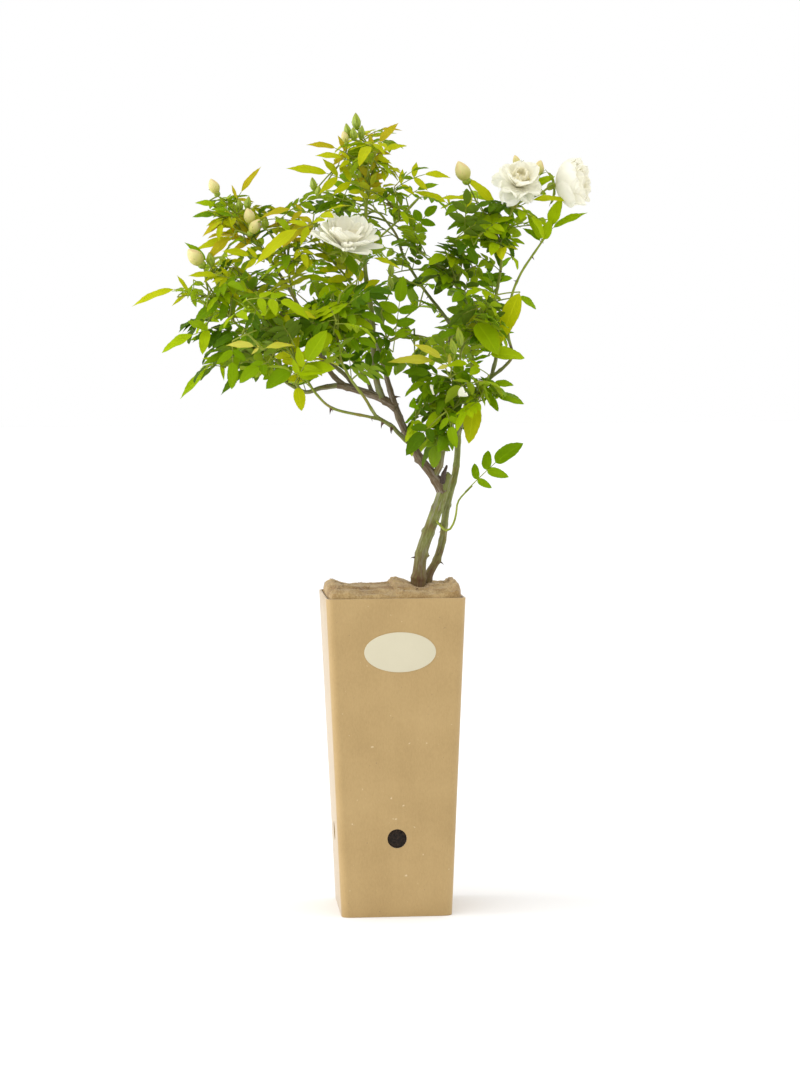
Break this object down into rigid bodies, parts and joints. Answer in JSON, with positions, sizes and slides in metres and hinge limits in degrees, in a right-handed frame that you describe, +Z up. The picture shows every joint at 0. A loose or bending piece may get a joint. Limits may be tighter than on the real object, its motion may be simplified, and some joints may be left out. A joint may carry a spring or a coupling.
{
  "type": "potted rose bush",
  "caption": "Young white climbing rose with double blooms and arching leafy canes, growing in a tall square kraft pot packed with torn paper.",
  "frame": {"origin": "centre of the flat underside of the pot", "axes": "+Z up along the pot, -Y towards the side with the oval label, +X to the right of someone who faces the label"},
  "size_m": [0.3536, 0.1882, 0.603],
  "materials": {
    "kraft": "matt pressed brown paper board",
    "soil": "damp dark potting soil",
    "torn_paper": "torn and crumpled fibrous paper",
    "label": "bare cream paper",
    "bark": "thin green-brown bark with prickles",
    "foliage": "semi-gloss green leaves"
  },
  "bodies": {
    "root": {"pot": "kraft", "root_ball": "soil", "packing_paper": "torn_paper", "label": "label", "trunk": "bark", "second_stem": "bark", "arch_lower": "bark", "arch_upper": "bark", "main_bough": "bark", "middle_rise": "bark", "left_bough": "bark", "left_arm": "bark", "left_reach": "bark", "left_rise": "bark", "left_spur": "bark", "back_left_bough": "bark", "back_bough": "bark", "leader": "bark", "leader_side": "bark", "front_lateral": "bark", "front_rise": "bark", "front_arm": "bark", "right_bough": "bark", "right_rise": "bark", "right_outer": "bark", "yellow_shoot": "bark", "back_right_bough": "bark", "foliage_top": "foliage", "foliage_top_right": "foliage", "foliage_inner_top": "foliage", "foliage_back_top": "foliage", "foliage_upper_left": "foliage", "foliage_mid_left": "foliage", "foliage_left": "foliage", "foliage_left_low": "foliage", "foliage_front_left": "foliage", "foliage_front": "foliage", "foliage_back": "foliage", "foliage_back_left": "foliage", "foliage_centre": "foliage", "foliage_right_middle": "foliage", "foliage_right": "foliage", "foliage_back_right": "foliage", "foliage_upper_right": "foliage", "foliage_far_right": "foliage", "foliage_low_right": "foliage", "foliage_fork": "foliage", "low_sprig": "foliage"}
  },
  "joints": []
}
